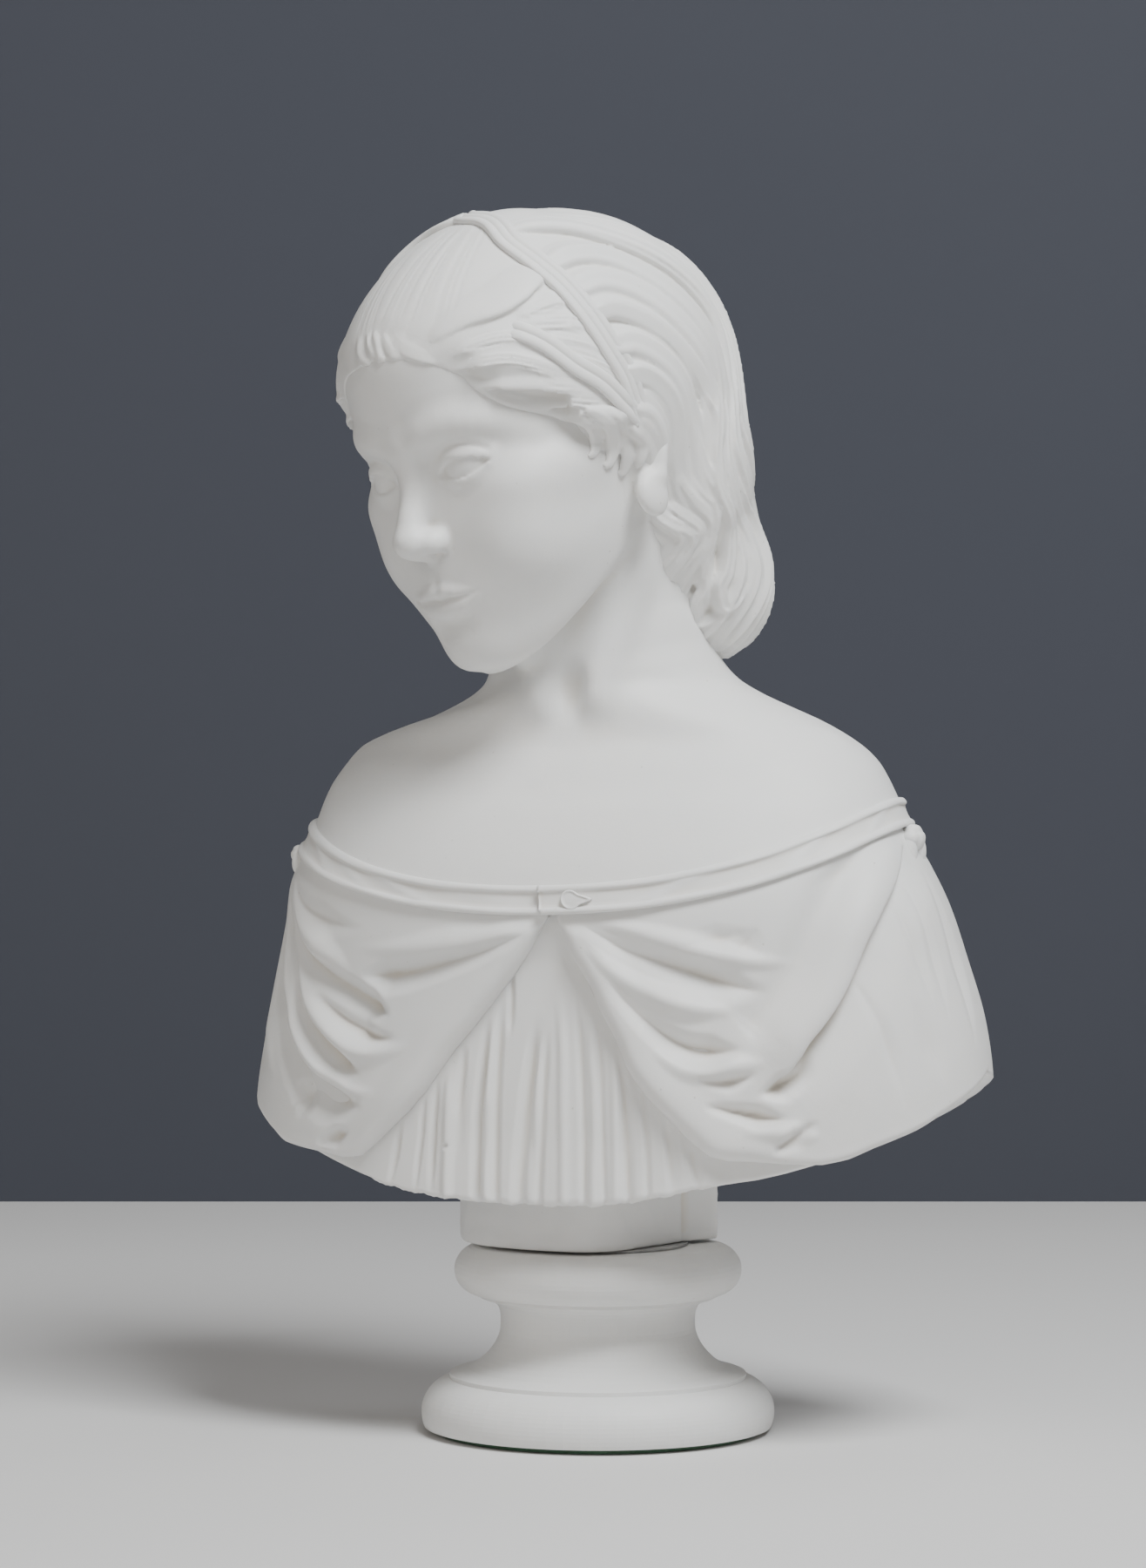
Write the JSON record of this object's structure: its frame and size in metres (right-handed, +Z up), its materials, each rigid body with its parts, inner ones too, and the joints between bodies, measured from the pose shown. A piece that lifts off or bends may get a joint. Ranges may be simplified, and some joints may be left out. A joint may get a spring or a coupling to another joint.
{
  "type": "marble bust",
  "caption": "Marble bust of a child in an off-the-shoulder draped dress, head turned and bowed, hair tied back with ribbons, pinned to a round turned socle with a felt underside.",
  "frame": {"origin": "centre of the felt pad's underside, where the socle rests", "axes": "+Z up through the socle's axis to the top of the head, -Y out of the chest, +X towards the figure's left shoulder"},
  "size_m": [0.3618, 0.2286, 0.5817],
  "materials": {
    "white_marble": "honed white marble",
    "zinc_plated_steel": "zinc plated",
    "stone_grout": "cast grout",
    "lead": "dull rolled sheet",
    "brass": "drawn rod",
    "green_felt": "pressed wool felt"
  },
  "bodies": {
    "root": {"bust": "white_marble", "socle": "white_marble", "threaded_rod": "zinc_plated_steel", "rod_grout": "stone_grout", "washer": "zinc_plated_steel", "nut": "zinc_plated_steel", "lead_sheet": "lead", "locating_pin": "brass", "felt_pad": "green_felt"}
  },
  "joints": []
}
